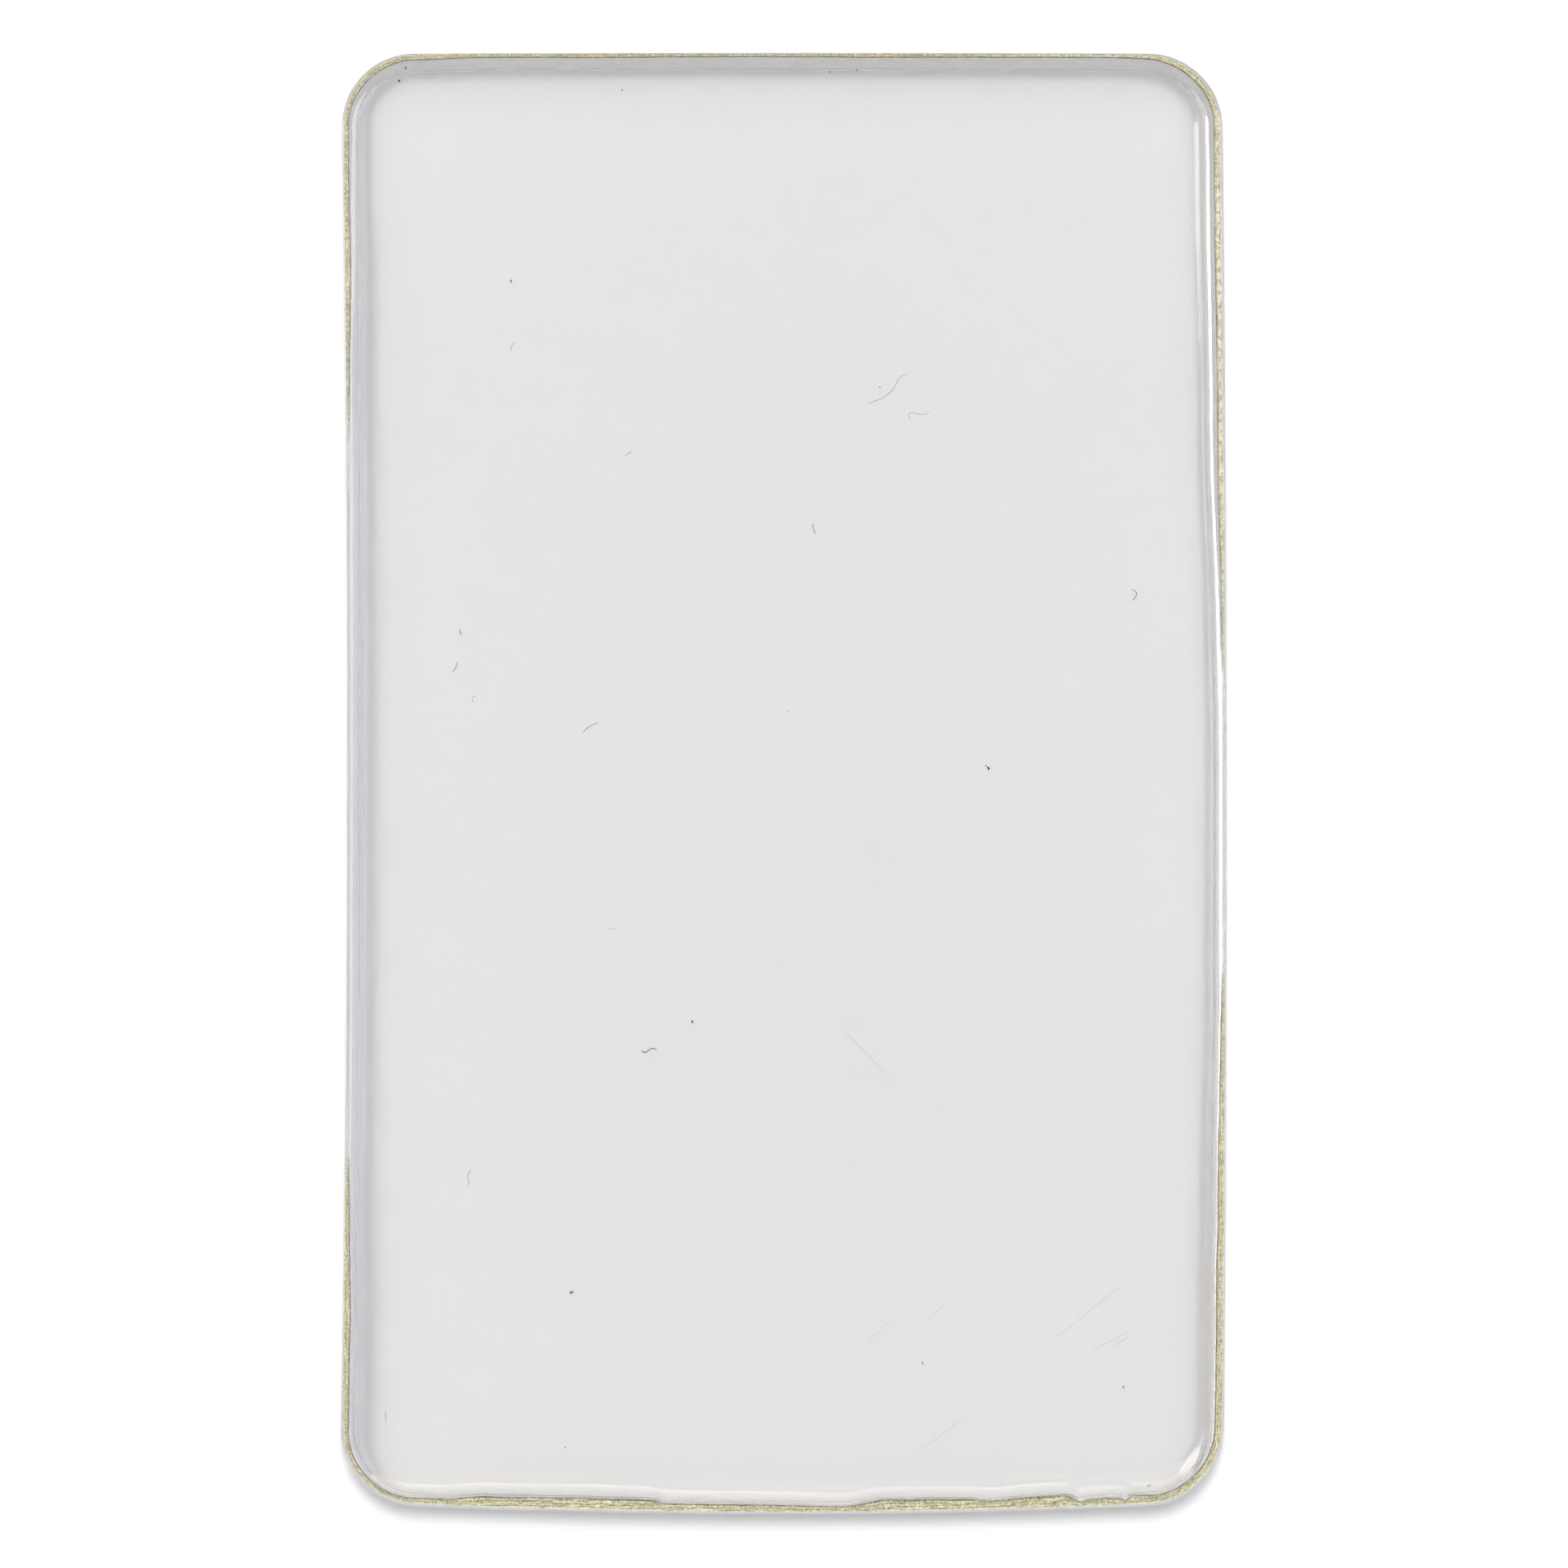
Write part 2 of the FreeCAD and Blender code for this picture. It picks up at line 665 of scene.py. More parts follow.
@dataclass(frozen=True)
class LipTones:
    """Tones of the torn lip, from 0, a cream bead, to 1, a dark thread.

    The lip is a mat of threads, with mottles and dark streaks. It is painted paler along its outside,
    a painted glow at the edge, and darker along its inside, painted shade at its inner step. On part
    of it a chain of beads runs along the middle.
    """

    mean: float = 0.38
    thread_swing: float = 0.32
    mottle_swing: float = 0.1
    mottle_rings: int = 3
    mottle: Waver = Waver(200, 12 * MM, 0.8 * MM, 0.3)
    streak_swing: float = 0.35
    streak_start: float = 1.0
    streak_limit: float = 2.0
    streak: Waver = Waver(100, 30 * MM, 1 * MM, 0.2)
    # Painted light across the lip: paler by its outside, a painted glow, and darker by its inside,
    # painted shade.
    painted_margins: tuple[tuple[float, float], ...] = ((0.04, -0.5), (0.14, 0.0), (0.88, 0.0), (0.94, 0.5))
    bead: float = 0.05
    bead_gap: float = 0.5
    bead_side: float = -0.6
    bead_reach: float = 0.25
    bead_spacing: float = 1.1 * MM
    bead_sway: float = 1.5
    bead_waver: Waver = Waver(12, 30 * MM, 6 * MM)
    bead_chains: Stations = field(default_factory=lambda: {
        Side.RIGHT: ((-60, 0.1), (10, 0.1), (20, 0.9), (50, 0.9), (60, 0.3)),
        Side.FAR: ((-36, 0.1), (18, 0.1), (24, 0.8), (30, 0.8), (36, 0.3)),
    })

    def matted(self, rim: RimOutline, ring: int, share: float, threads: np.ndarray) -> np.ndarray:
        """Gives the tone of the mat round one ring of the lip.

        Args:
            rim: the plate's outline.
            ring: the ring's number.
            share: where the ring lies across the lip, from 0 outside to 1 inside.
            threads: how strong a thread runs there, from -1 to 1, at each point.

        Returns:
            The tone at each point.
        """
        mottles = rim.waver(self.mottle, ring // self.mottle_rings)
        streaks = np.clip(rim.waver(self.streak, ring) - self.streak_start, 0, self.streak_limit)
        tone = self.mean + self.thread_swing * threads + self.mottle_swing * mottles
        return tone + self.streak_swing * streaks + np.interp(share, *zip(*self.painted_margins))

    def beaded(self, rim: RimOutline, share: float, mat: np.ndarray) -> np.ndarray:
        """Strings the beads into the mat round one ring of the lip.

        Args:
            rim: the plate's outline.
            share: where the ring lies across the lip, from 0 outside to 1 inside.
            mat: tone of the mat at each point.

        Returns:
            The tone at each point.
        """
        aside = share - 0.5
        chain = rim.along_sides(self.bead_chains) * np.exp(-((aside / self.bead_reach) ** 4))
        sway = self.bead_sway * rim.waver(self.bead_waver)
        gaps = np.cos(FULL_TURN * rim.travel / self.bead_spacing + sway)
        beads = np.clip(self.bead + self.bead_gap * gaps + self.bead_side * abs(aside), 0, 1)
        return np.clip(mat * (1 - chain) + chain * beads, 0, 1)


@dataclass(frozen=True)
class TornLip:
    """Top of the lip, where the gel tore from the mould and was drawn out along the rim."""

    tones: LipTones = LipTones()
    steps: int = 24
    matted_width: float = 0.25 * MM
    satin: float = 0.5
    width_sway: float = 0.05
    width_waver: Waver = Waver(11, 60 * MM, 4 * MM, 0.9)
    strands: tuple[float, ...] = (2.3, 3.7, 5.2)
    ridge_height: float = 0.03 * MM
    ridge_sway: float = 2.5
    ridge_waver: Waver = Waver(20, 120 * MM, 6 * MM, 0.9)
    thread_sway: float = 3.0
    thread_waver: Waver = Waver(30, 100 * MM, 2 * MM, 0.7)
    edge_steps: int = 4
    edge_width: float = 0.1 * MM
    edge_drop: float = 0.12 * MM
    # Painted shade: the drop at the lip's inner edge is tinted dark.
    edge_painted_shade: float = 0.85
    edge_matted: float = 0.5
    rises: Stations = field(default_factory=lambda: {
        Side.NEAR: ((-30, 0.75), (30, 0.7)),
        Side.RIGHT: ((-55, 0.75), (-15, 0.7), (5, 0.65), (30, 1.0), (58, 1.05)),
        Side.FAR: ((-30, 1.15), (30, 1.2)),
        Side.LEFT: ((-55, 0.95), (0, 0.95), (55, 1.05)),
    })
    widths: Stations = field(default_factory=lambda: {
        Side.NEAR: (
            (-33, 0.34), (-29, 0.5), (-26, 0.85), (-18, 0.95), (-11, 0.85), (-10.7, 0.6), (0, 0.5),
            (5.5, 0.42), (8.5, 0.95), (16, 0.95), (18, 0.72), (21, 0.95), (24.5, 1.0), (25.75, 0.3),
            (26.3, 0.5), (28, 0.6), (29.2, 0.5), (29.66, 0.25), (30.3, 0.7), (33, 0.5),
        ),
        Side.RIGHT: (
            (-60, 0.55), (-45, 0.6), (-32, 0.5), (-15, 0.15), (-2, 0.12), (18, 0.28), (27, 0.42),
            (45, 0.52), (58, 0.5),
        ),
        Side.FAR: ((-34, 0.42), (-27, 0.3), (0, 0.28), (30, 0.3), (34, 0.45)),
        Side.LEFT: (
            (-60, 0.34), (-54, 0.5), (-46, 0.58), (-38.5, 0.4), (-31, 0.15), (-10, 0.04), (20, 0.04),
            (27, 0.12), (38, 0.3), (45, 0.5), (48, 0.45), (57, 0.35),
        ),
    })

    def drawn_out(self, share: float, sways: np.ndarray) -> np.ndarray:
        """Gives the swell of the strands that are drawn out along the rim, on one ring."""
        return np.cos(FULL_TURN * np.array(self.strands) * share + sways).mean(axis=1)

    def swayed(self, rim: RimOutline, amount: float, kind: Waver) -> np.ndarray:
        """Gives how far each strand sways at each point, each with its own irregularity."""
        return np.stack([amount * rim.waver(kind, i) for i in range(len(self.strands))], axis=1)

    def add(self, section: Section, crest: np.ndarray, start: np.ndarray) -> np.ndarray:
        """Adds the lip's top and its inner edge.

        Args:
            section: the section that gets the lip.
            crest: height of the lip at each point of the outline.
            start: how far inside the outline the lip starts, at each point.

        Returns:
            How far inside the outline the lip ends, at each point.
        """
        rim = section.outline
        width = rim.along_sides(self.widths) * MM * (1 + self.width_sway * rim.waver(self.width_waver))
        torn_and_painted = np.clip(width / self.matted_width, 0, 1) ** 2
        ridge_sways = self.swayed(rim, self.ridge_sway, self.ridge_waver)
        thread_sways = self.swayed(rim, self.thread_sway, self.thread_waver)
        for ring, share in enumerate(np.linspace(0, 1, self.steps)):
            ridges = self.drawn_out(share, ridge_sways)
            mat = self.tones.matted(rim, ring, share, self.drawn_out(share, thread_sways))
            # The lip's tint and tones are painted light and shade laid over its own threads and mottles.
            look = Look(torn_and_painted, self.tones.beaded(rim, share, mat), self.satin * torn_and_painted)
            section.add(start + width * share, crest - self.ridge_height * torn_and_painted * (1 - ridges), look)
        end = start + width
        for share in np.linspace(0, 1, self.edge_steps)[1:]:
            drop = self.ridge_height + self.edge_drop * (1 - math.cos(math.pi * share)) / 2
            # The drop at the inner edge gets the painted shade tone.
            look = Look(torn_and_painted * (share < self.edge_matted), self.edge_painted_shade)
            section.add(end + self.edge_width * share, crest - torn_and_painted * drop, look)
        return end + self.edge_width


@dataclass(frozen=True)
class PouredFace:
    """Face as the gel set: a meniscus that falls away from the lip, and the level inside it."""

    drop: float = 1.2 * MM
    meniscus_reach: float = 5.6 * MM
    meniscus_steps: int = 26
    crowding: float = 1.4
    level_shares: tuple[float, ...] = (0.75, 0.5, 0.25)
    meniscus_lengths: Stations = field(default_factory=lambda: {
        Side.NEAR: ((-30, 1.2), (30, 1.2)),
        Side.RIGHT: ((-58, 1.1), (-15, 0.9), (20, 0.72), (58, 0.75)),
        Side.FAR: ((-30, 0.62), (30, 0.62)),
        Side.LEFT: ((-58, 1.6), (38, 1.6), (52, 1.15), (60, 0.95)),
    })

    def add(self, section: Section, level: float, start: np.ndarray) -> None:
        """Adds the meniscus, with its rings closer together by the lip, and the level face.

        Args:
            section: the section that gets the face.
            level: height of the level face.
            start: how far inside the outline the meniscus starts, at each point.
        """
        top = section.rings[-1][:, 2]
        length = section.outline.along_sides(self.meniscus_lengths) * MM
        rest = np.exp(-self.meniscus_reach / length)
        for share in np.linspace(0, 1, self.meniscus_steps)[1:] ** self.crowding:
            depth = start + (self.meniscus_reach - start) * share
            fall = np.exp(-(depth - start) / length)
            section.add(depth, level + (top - level) * np.clip((fall - rest) / (1 - rest), 0, 1))
        for share in self.level_shares:
            section.add(self.meniscus_reach, level, shrink=share)


@dataclass
class GelSlab:
    """One cast slab of clear gel: moulded foot and wall, torn lip, meniscus and poured face."""

    outline: RimOutline
    foot_level: float
    rim_level: float
    finish: OilGel = OilGel()
    side: MouldedSide = MouldedSide()
    lip: TornLip = TornLip()
    face: PouredFace = PouredFace()
    node: str = "gel_slab"
    section: Section = field(init=False)
    face_ring: int = field(init=False, default=0)

    def mesh(self) -> bpy.types.Mesh:
        """Makes the slab's mesh, ring by ring, and keeps its section.

        Returns:
            The mesh.
        """
        self.section = Section(self.outline)
        level = self.rim_level - self.face.drop
        crest = level + self.outline.along_sides(self.lip.rises) * MM
        self.side.add_foot(self.section, self.foot_level)
        shoulder = self.side.add_wall(self.section, self.foot_level, self.rim_level, crest)
        lip_end = self.lip.add(self.section, crest, shoulder)
        self.face_ring = len(self.section.rings) - 1
        self.face.add(self.section, level, lip_end)
        return self.section.mesh(self.node)

    def height_at(self, place: np.ndarray) -> float:
        """Finds the height of the meniscus or the face.

        Args:
            place: the place in plan.

        Returns:
            The height there.
        """
        away = np.hypot(*(self.outline.points - place).T)
        nearest = away.argmin()
        across = np.array([ring[nearest] for ring in self.section.rings[self.face_ring:]])
        depths = np.hypot(*(across[:, :2] - self.outline.points[nearest]).T)
        return float(np.interp(away[nearest], depths, across[:, 2]))

    def build(self) -> bpy.types.Object:
        """Makes the slab, which stands for its CAD solid.

        Returns:
            The slab.
        """
        piece = add_piece("poured_gel_slab", self.mesh(), self.finish.material())
        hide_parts(self.node)
        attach(piece, "slab")
        return piece


class LintShade(Enum):
    """Colours of the lint that the tacky face has picked up."""

    PALE = "#A9A7A4"
    GREY = "#7C7A78"
    DARK = "#3A3838"
    ROSE = "#B06A76"
    OLIVE = "#86834A"
    AMBER = "#A8622C"


@dataclass(frozen=True)
class Fibre:
    """A bit of lint: its shade, its width and its course over the face, in millimetres."""

    shade: LintShade
    width: float
    course: tuple[tuple[float, float], ...]


FIBRES = (
    Fibre(LintShade.ROSE, 0.05, (
        (7.33, 32.79), (7.47, 33.07), (7.97, 33.24), (8.46, 33.43), (8.89, 33.71), (9.39, 34.1),
        (9.67, 34.5), (9.82, 34.92), (10.17, 35.35), (10.88, 35.67),
    )),
    Fibre(LintShade.PALE, 0.05, (
        (11.09, 31.46), (10.86, 31.82), (10.81, 32.04), (11.02, 32.18), (11.35, 32.18),
        (11.66, 32.08), (12.02, 32.02), (12.29, 32.08), (12.55, 32.22), (12.73, 32.26),
    )),
    Fibre(LintShade.OLIVE, 0.07, ((2.52, 22.58), (2.52, 22.13), (2.6, 21.91), (2.78, 21.6))),
    Fibre(LintShade.GREY, 0.07, (
        (30.19, 16.78), (30.41, 16.78), (30.64, 16.55), (30.68, 16.33), (30.5, 16.11),
        (30.46, 15.93), (30.23, 15.89),
    )),
    Fibre(LintShade.GREY, 0.06, ((-13.88, 28.46), (-13.62, 28.53), (-13.4, 28.75), (-13.23, 28.88))),
    Fibre(LintShade.GREY, 0.06, (
        (-17.47, 4.35), (-17.25, 4.62), (-16.93, 4.88), (-16.58, 5.06), (-16.36, 5.1), (-16.14, 5.28),
    )),
    Fibre(LintShade.PALE, 0.05, ((-15.32, -12.77), (-15.05, -12.69), (-14.79, -12.66), (-14.51, -12.73))),
    Fibre(LintShade.PALE, 0.06, (
        (-27.07, -33.63), (-27.29, -33.78), (-27.47, -34.11), (-27.43, -34.42), (-27.34, -34.78),
        (-27.43, -35.14),
    )),
    Fibre(LintShade.DARK, 0.08, (
        (-12.38, -23.26), (-12.16, -23.46), (-11.95, -23.4), (-11.76, -23.26), (-11.54, -23.1),
        (-11.27, -23.12), (-11.05, -23.19),
    )),
    Fibre(LintShade.ROSE, 0.07, ((-28.38, 10.54), (-28.46, 10.24), (-28.55, 9.96), (-28.81, 9.61))),
    Fibre(LintShade.GREY, 0.08, ((-28.18, 13.37), (-28.17, 13.1), (-28.03, 12.8))),
    Fibre(LintShade.PALE, 0.06, ((-27.18, 7.43), (-26.96, 7.47), (-26.74, 7.57))),
    Fibre(LintShade.PALE, 0.06, ((-27.1, 7.3), (-27.03, 6.98))),
    Fibre(LintShade.PALE, 0.06, ((-23.47, 38.38), (-23.64, 38.12), (-23.77, 37.62))),
    Fibre(LintShade.GREY, 0.05, ((-34.54, -54.59), (-34.59, -54.91), (-34.57, -55.26), (-34.57, -55.62))),
    Fibre(LintShade.DARK, 0.06, ((31.43, -61.16), (31.69, -61.02), (31.96, -60.94))),
    Fibre(LintShade.GREY, 0.07, ((-19.06, -57.82), (-18.93, -57.65))),
    Fibre(LintShade.OLIVE, 0.31, ((-23.84, 43.67), (-23.68, 43.67))),
    Fibre(LintShade.DARK, 0.31, ((17.7, 1.2), (17.86, 1.28))),
    Fibre(LintShade.AMBER, 0.07, ((17.46, 1.56), (17.62, 1.4), (17.75, 1.27))),
    Fibre(LintShade.DARK, 0.28, ((-8.05, -20.77), (-7.89, -20.77))),
    Fibre(LintShade.AMBER, 0.21, ((-18.63, -44.35), (-18.45, -44.28), (-18.28, -44.17))),
    Fibre(LintShade.OLIVE, 0.22, ((11.94, -50.43), (12.1, -50.43))),
    Fibre(LintShade.AMBER, 0.22, ((29.37, -52.49), (29.53, -52.49))),
    Fibre(LintShade.DARK, 0.22, ((-33.0, 62.2), (-32.86, 62.26))),
    Fibre(LintShade.DARK, 0.25, ((-33.58, 61.1), (-33.42, 61.1))),
    Fibre(LintShade.DARK, 0.17, ((3.92, 61.88), (4.04, 61.88))),
    Fibre(LintShade.DARK, 0.17, ((6.27, 62.02), (6.39, 62.02))),
    Fibre(LintShade.DARK, 0.17, ((-14.14, 60.3), (-14.02, 60.3))),
    Fibre(LintShade.DARK, 0.17, ((8.26, 34.42), (8.38, 34.42))),
    Fibre(LintShade.PALE, 0.03, ((23.33, -48.44), (29.52, -43.46))),
    Fibre(LintShade.PALE, 0.03, ((26.74, -49.36), (30.01, -47.58))),
    Fibre(LintShade.PALE, 0.03, ((28.59, -48.93), (30.09, -48.01))),
    Fibre(LintShade.PALE, 0.03, ((11.45, -58.25), (15.86, -54.98))),
    Fibre(LintShade.PALE, 0.03, ((6.9, -48.86), (9.53, -46.44))),
    Fibre(LintShade.PALE, 0.03, ((12.59, -46.59), (14.22, -45.09))),
    Fibre(LintShade.PALE, 0.03, ((4.41, -20.7), (9.39, -25.89))),
)


@dataclass
class SettledLint:
    """Fibres and specks stuck to the tacky face. Its sizes are in millimetres.

    A bit that is short for its width is a speck, with round ends where a fibre's are blunt.
    """

    slab: GelSlab
    finish: TextileLint = TextileLint()
    fibres: tuple[Fibre, ...] = FIBRES
    specks: int = 60
    seed: int = 7
    speck_widths: tuple[float, float] = (0.03, 0.09)
    speck_lengths_in_widths: tuple[float, float] = (0.5, 1.2)
    speck_shades: tuple[LintShade, ...] = (
        LintShade.GREY, LintShade.DARK, LintShade.PALE, LintShade.OLIVE,
    )
    strewn_size: tuple[float, float] = (66.0, 116.0)
    station_step: float = 0.08
    fewest_stations: int = 7
    most_stations: int = 60
    sides: int = 6
    longest_speck_in_widths: float = 2.0
    speck_bluntness: int = 2
    fibre_bluntness: int = 8
    rise_in_radii: float = 0.3
    point_radius: float = 1e-6

    def scattered(self) -> list[Fibre]:
        """Strews the finest specks over the whole face.

        Returns:
            The specks.
        """
        draws = np.random.default_rng(self.seed)
        found = []
        for _ in range(self.specks):
            x, y = (draws.uniform(-0.5, 0.5, 2) * self.strewn_size).tolist()
            width = draws.uniform(*self.speck_widths)
            reach = width * draws.uniform(*self.speck_lengths_in_widths)
            shade = self.speck_shades[draws.integers(len(self.speck_shades))]
            found.append(Fibre(shade, width, ((x - reach / 2, y), (x + reach / 2, y))))
        return found

    def tube(self, fibre: Fibre) -> tuple[np.ndarray, list[tuple[int, ...]]]:
        """Sweeps a fibre along its course, pointed at both ends.

        Args:
            fibre: the fibre.

        Returns:
            The tube's corners, and its faces by the corners' numbers.
        """
        marks = np.array(fibre.course)
        run = np.concatenate([[0], np.cumsum(np.hypot(*np.diff(marks, axis=0).T))])
        count = max(self.fewest_stations, min(self.most_stations, round(run[-1] / self.station_step)))
        share = (1 - np.cos(np.linspace(0, math.pi, count))) / 2
        path = np.stack([np.interp(share * run[-1], run, axis) for axis in marks.T], axis=1)
        ahead = np.gradient(path, axis=0)
        ahead /= np.hypot(*ahead.T)[:, None]
        aside = np.stack([-ahead[:, 1], ahead[:, 0]], axis=1)
        is_speck = run[-1] < self.longest_speck_in_widths * fibre.width
        blunt = self.speck_bluntness if is_speck else self.fibre_bluntness
        radius = fibre.width / 2 * np.sqrt(1 - (2 * share - 1) ** blunt)
        corners = []
        for place, way, reach in zip(path, aside, radius):
            level = self.slab.height_at(place * MM) / MM + self.rise_in_radii * fibre.width / 2
            if reach < self.point_radius:
                corners.append((*place, level))
                continue
            for turn in FULL_TURN * np.arange(self.sides) / self.sides:
                plan = place + way * reach * math.cos(turn)
                corners.append((*plan, level + reach * math.sin(turn)))
        return np.array(corners) * MM, self.tube_faces(count)

    def tube_faces(self, count: int) -> list[tuple[int, ...]]:
        """Joins the stations of a tube whose ends are points.

        Args:
            count: number of stations, with both ends.

        Returns:
            The faces, by the corners' numbers.
        """
        sides = self.sides
        last = 1 + (count - 2) * sides
        faces: list[tuple[int, ...]] = []
        for side in range(sides):
            after = (side + 1) % sides
            faces.append((0, 1 + after, 1 + side))
            faces.append((last, last - sides + side, last - sides + after))
            for station in range(count - 3):
                low = 1 + station * sides
                faces.append((low + side, low + after, low + sides + after, low + sides + side))
        return faces

    def build(self) -> bpy.types.Object:
        """Makes all the lint as one piece that lies on the slab.

        Returns:
            The lint.
        """
        corners: list[np.ndarray] = []
        faces: list[tuple[int, ...]] = []
        shades: list[tuple[float, ...]] = []
        for fibre in [*self.fibres, *self.scattered()]:
            tube, sides = self.tube(fibre)
            faces += [tuple(corner + len(shades) for corner in face) for face in sides]
            corners.append(tube)
            shades += [linear(fibre.shade.value)] * len(tube)
        mesh = bpy.data.meshes.new("settled_lint")
        mesh.from_pydata(np.vstack(corners).tolist(), [], faces)
        mesh.polygons.foreach_set("use_smooth", [True] * len(mesh.polygons))
        layer = mesh.attributes.new(self.finish.shade_layer, "FLOAT_COLOR", "POINT")
        layer.data.foreach_set("color", np.array(shades).ravel())
        piece = add_piece("settled_lint", mesh, self.finish.material())
        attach(piece, "slab")
        return piece


@dataclass
class CarrierFilm:
    """Thin clear sheet that the slab lies on, cut to the slab's shape."""

    finish: PolyesterFilm = PolyesterFilm()
    edge_finish: CutPolyester = CutPolyester()
    node: str = "carrier_film"
    least_face_normal: float = 0.5

    def build(self) -> bpy.types.Object:
        """Dresses the film's CAD solid, its face first and then its cut edge.

        Returns:
            The film.
        """
        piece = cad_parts[self.node]
        piece.data.materials.clear()
        piece.data.materials.append(self.finish.material())
        piece.data.materials.append(self.edge_finish.material())
        for face in piece.data.polygons:
            face.material_index = int(abs(face.normal.z) < self.least_face_normal)
        return piece


@dataclass
class SoftLamp:
    """A soft box over the plate, aimed at its middle."""

    name: str
    place: tuple[float, float, float]
    size: tuple[float, float]
    power: float
    tint: str = "#FFFFFF"
    in_gloss: bool = True
    on_matt: bool = True

    def build(self) -> bpy.types.Object:
        """Makes the lamp, which is seen at most in the gel's gloss.

        Returns:
            The lamp.
        """
        data = bpy.data.lights.new(self.name, "AREA")
        data.shape = "ELLIPSE"
        data.size, data.size_y = self.size
        data.energy = self.power
        data.color = linear(self.tint)[:3]
        lamp = bpy.data.objects.new(self.name, data)
        lamp.location = self.place
        lamp.rotation_euler = (-Vector(self.place)).to_track_quat("-Z", "Y").to_euler()
        lamp.visible_camera = False
        lamp.visible_transmission = False
        lamp.visible_glossy = self.in_gloss
        lamp.visible_diffuse = self.on_matt
        bpy.context.scene.collection.objects.link(lamp)
        return lamp


@dataclass
class GlossCard(SoftLamp):
    """A soft card that shows in the gel's gloss and lights nothing matt."""

    on_matt: bool = False


@dataclass
class SoftSky:
    """White room with a broad soft light overhead, long across the camera's view."""

    colour: str = "#FEFDFA"
    even_light: float = 0.1
    top_light: float = 4.65
    middle: tuple[float, float, float] = (0.0, 0.18, 0.0)
    spread: tuple[float, float] = (0.32, 0.44)
    soft_edge: tuple[float, float] = (0.4, 1.35)

    def build(self) -> None:
        """Makes the world's light, which the eye sees as white where it is dimmer than white."""
        world = bpy.data.worlds.new("white_room")
        world.use_nodes = True
        tree = world.node_tree
        place = add_node(tree, "ShaderNodeTexCoord")
        off_middle = add_node(
            tree,
            "ShaderNodeVectorMath",
            {"operation": "SUBTRACT"},
            {0: place.outputs["Generated"], 1: self.middle},
        )
        scaled = add_node(
            tree,
            "ShaderNodeVectorMath",
            {"operation": "MULTIPLY"},
            {0: off_middle.outputs[0], 1: (1 / self.spread[0], 1 / self.spread[1], 0)},
        )
        away = add_node(tree, "ShaderNodeVectorMath", {"operation": "LENGTH"}, {0: scaled.outputs[0]})
        inner, outer = self.soft_edge
        light = add_node(
            tree,
            "ShaderNodeMapRange",
            {"interpolation_type": "SMOOTHSTEP"},
            {
                "Value": away.outputs["Value"],
                "From Min": inner,
                "From Max": outer,
                "To Min": self.top_light,
                "To Max": self.even_light,
            },
        )
        strength = add_node(
            tree,
            "ShaderNodeMath",
            {"operation": "MAXIMUM"},
            {0: light.outputs["Result"], 1: seen_by_eye(tree)},
        )
        background = tree.nodes["Background"]
        background.inputs["Color"].default_value = linear(self.colour)
        tree.links.new(strength.outputs[0], background.inputs["Strength"])
        bpy.context.scene.world = world


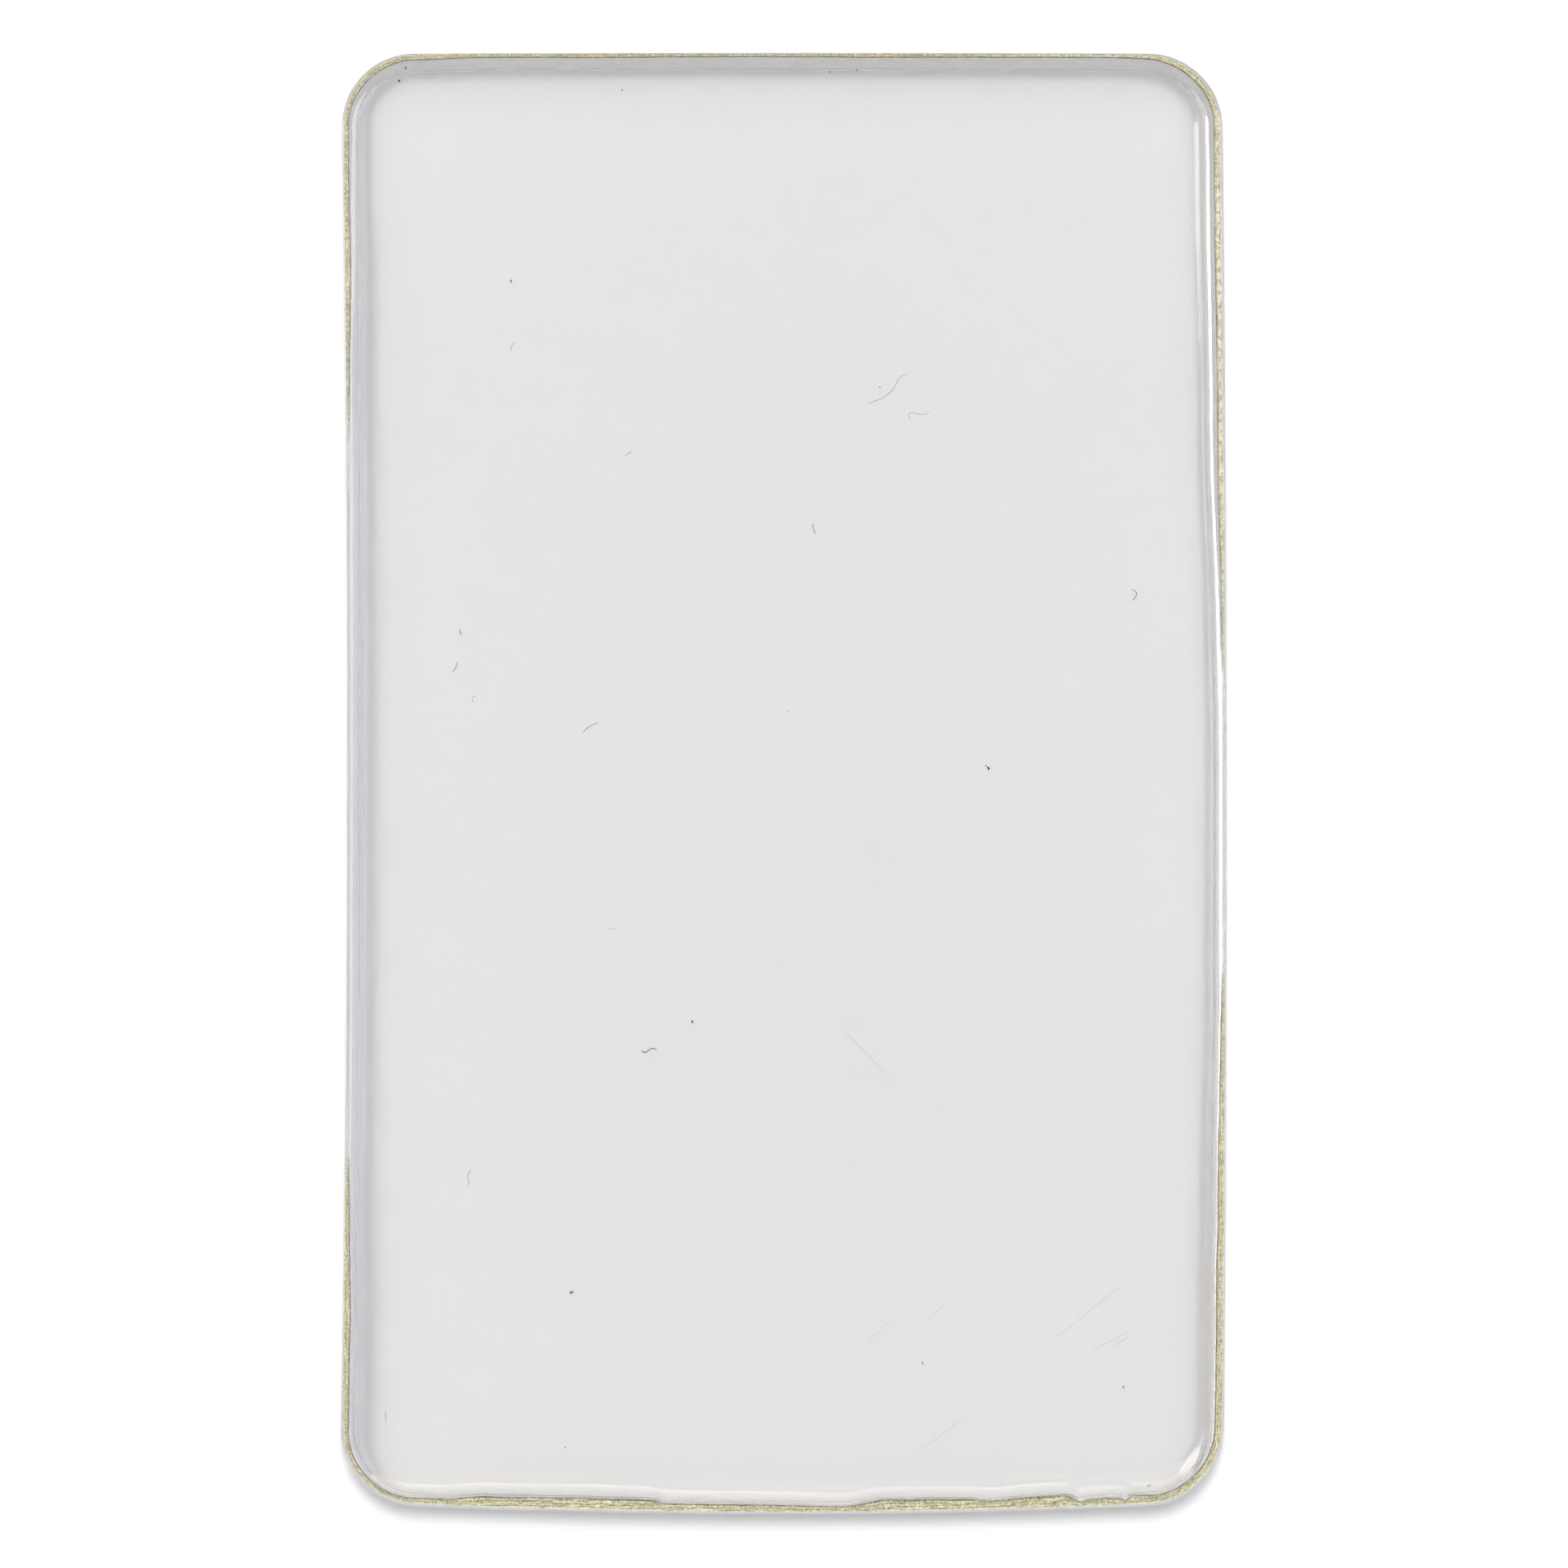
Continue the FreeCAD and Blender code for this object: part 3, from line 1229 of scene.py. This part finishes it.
@dataclass
class Studio:
    """Plain white sweep, soft light from above, and a camera high over the plate."""

    floor_finish: PaperSweep = PaperSweep()
    sky: SoftSky = field(default_factory=SoftSky)
    floor_size: float = 6.0
    floor_drop: float = 0.05 * MM
    camera_distance: float = 1.4
    camera_elevation: float = 88.0
    view_width: float = 136.6 * MM
    view_height: float = 5.0 * MM
    lamps: list[SoftLamp] = field(default_factory=lambda: [
        SoftLamp("far_key", (0, 0.25, 3.0), (0.35, 0.5), 43, in_gloss=False),
        GlossCard("left_strip", (-1.1, 0.11, 0.58), (0.36, 0.42), 5.2),
        GlossCard("left_card", (-1.0, 0.0, 0.73), (1.6, 0.7), 10.0, "#FFF4E8"),
        GlossCard("far_left_window", (-0.36, 0.26, 1.1), (0.3, 0.34), 1.8),
        GlossCard("left_wash", (-0.42, 0.12, 1.0), (0.3, 0.1), 0.25),
        GlossCard("left_fill", (-0.5, 0.0, 1.0), (1.4, 0.4), 2.2, "#FFE9D6"),
        GlossCard("right_card", (1.0, 0.0, 0.6), (1.2, 0.35), 5.2),
        GlossCard("right_wash", (0.66, 0.0, 0.9), (1.4, 0.5), 3.9, "#D0DCFF"),
        GlossCard("far_card", (0, 0.7, 1.15), (1.6, 0.6), 10.4, "#FFF3E3"),
        GlossCard("far_wash", (0, 0.35, 1.3), (1.6, 0.35), 2.3, "#FFF3E3"),
    ])

    def build(self) -> None:
        """Makes the floor, the sky, the lamps and the camera."""
        self.build_floor()
        self.sky.build()
        for lamp in self.lamps:
            lamp.build()
        self.build_camera()
        bpy.context.scene.view_settings.view_transform = "Standard"

    def build_floor(self) -> None:
        """Lays the paper just under the film."""
        half = self.floor_size / 2
        mesh = bpy.data.meshes.new("paper_sweep")
        corners = [(-half, -half, 0), (half, -half, 0), (half, half, 0), (-half, half, 0)]
        mesh.from_pydata(corners, [], [(0, 1, 2, 3)])
        floor = add_piece("paper_sweep", mesh, self.floor_finish.material())
        floor.location.z = -self.floor_drop

    def build_camera(self) -> None:
        """Sets the camera high over the plate, a touch to its near side."""
        data = bpy.data.cameras.new("overhead_camera")
        data.lens = data.sensor_width / self.view_width * self.camera_distance
        camera = bpy.data.objects.new("overhead_camera", data)
        rise = math.radians(self.camera_elevation)
        away = Vector((0, -math.cos(rise), math.sin(rise))) * self.camera_distance
        camera.location = Vector((0, 0, self.view_height)) + away
        camera.rotation_euler = (QUARTER_TURN - rise, 0, 0)
        bpy.context.scene.collection.objects.link(camera)
        bpy.context.scene.camera = camera


def main() -> None:
    """Builds and dresses the plate, then the studio round it."""
    logging.basicConfig(level=logging.INFO, format="%(message)s")
    low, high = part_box("gel_slab")
    outline = RimOutline((high.x - low.x) / 2, (high.y - low.y) / 2)
    film = CarrierFilm().build()
    log.info("film: %s", film.name)
    slab = GelSlab(outline, low.z, high.z)
    gel = slab.build()
    log.info("slab: %s, %d faces", gel.name, len(gel.data.polygons))
    lint = SettledLint(slab).build()
    log.info("lint: %s, %d faces", lint.name, len(lint.data.polygons))
    Studio().build()


if __name__ == "__main__":
    main()
